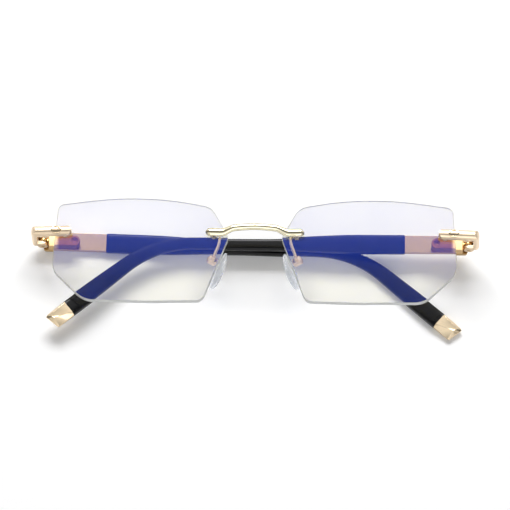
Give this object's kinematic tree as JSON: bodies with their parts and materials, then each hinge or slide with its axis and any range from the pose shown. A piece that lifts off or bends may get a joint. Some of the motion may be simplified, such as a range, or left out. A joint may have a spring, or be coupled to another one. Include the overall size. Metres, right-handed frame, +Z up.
{
  "type": "rimless eyeglasses",
  "caption": "Rimless eyeglasses with gold fittings, clear nose pads, spring hinges and black temples, lying folded with the lenses up.",
  "frame": {"origin": "middle of the box on the table, under the part", "axes": "+X across the front to the picture's right, +Y from the tips toward the brow, +Z up from the table, out of the lens fronts"},
  "size_m": [0.1402, 0.0402, 0.0193],
  "materials": {
    "lens": "clear coated plastic lens, modelled as glass",
    "gold_metal": "polished pale gold plate",
    "nylon": "clear nylon",
    "pad": "clear silicone",
    "spring_steel": "bright spring wire",
    "black_arm": "satin black acetate"
  },
  "bodies": {
    "front": {"left_lens": "lens", "right_lens": "lens", "bridge": "gold_metal", "lens_bushes": "nylon", "lens_washers": "nylon", "lens_nuts": "gold_metal", "left_pad_arm": "gold_metal", "left_pad_box": "gold_metal", "left_pad_screw": "gold_metal", "left_end_piece": "gold_metal", "left_badge": "gold_metal", "left_hinge_screw": "gold_metal", "right_pad_arm": "gold_metal", "right_pad_box": "gold_metal", "right_pad_screw": "gold_metal", "right_end_piece": "gold_metal", "right_badge": "gold_metal", "right_hinge_screw": "gold_metal"},
    "left_slider": {"left_hinge_slider": "gold_metal", "left_hinge_spring": "spring_steel"},
    "left_temple": {"left_spring_bush": "gold_metal", "left_spring_housing": "gold_metal", "left_housing_rivet": "gold_metal", "left_temple_plate": "gold_metal", "left_temple_arm": "black_arm", "left_tip_cap": "gold_metal"},
    "left_pad": {"left_pad_core": "nylon", "left_nose_pad": "pad"},
    "right_slider": {"right_hinge_slider": "gold_metal", "right_hinge_spring": "spring_steel"},
    "right_temple": {"right_spring_bush": "gold_metal", "right_spring_housing": "gold_metal", "right_housing_rivet": "gold_metal", "right_temple_plate": "gold_metal", "right_temple_arm": "black_arm", "right_tip_cap": "gold_metal"},
    "right_pad": {"right_pad_core": "nylon", "right_nose_pad": "pad"}
  },
  "joints": [
    {"name": "left_temple_fold", "type": "hinge", "parent": "front", "child": "left_slider", "pos_m": [-0.06654, 0.00891, 0.00415], "axis": [0, 1, 0], "range_deg": [0, 88.2]},
    {"name": "left_spring_hinge", "type": "slide", "parent": "left_slider", "child": "left_temple", "axis": [1, 0, 0], "range_m": [0, 0.0012], "stiffness_N_per_m": 1500, "springref_m": -0.0005, "deforming": ["left_hinge_spring"]},
    {"name": "left_pad_rock", "type": "hinge", "parent": "front", "child": "left_pad", "pos_m": [-0.01339, 0.00111, 0.00976], "axis": [0.4159, -0.1528, 0.8965], "range_deg": [-8, 8]},
    {"name": "right_temple_fold", "type": "hinge", "parent": "front", "child": "right_slider", "pos_m": [0.0668, 0.00891, 0.00834], "axis": [0, -1, 0], "range_deg": [-0.5, 0.5]},
    {"name": "right_spring_hinge", "type": "slide", "parent": "right_slider", "child": "right_temple", "axis": [-1, 0, 0], "range_m": [0, 0.0012], "stiffness_N_per_m": 1500, "springref_m": -0.0005, "deforming": ["right_hinge_spring"]},
    {"name": "right_pad_rock", "type": "hinge", "parent": "front", "child": "right_pad", "pos_m": [0.0134, 0.00111, 0.01061], "axis": [-0.4714, -0.1528, 0.8686], "range_deg": [-8, 8]}
  ]
}
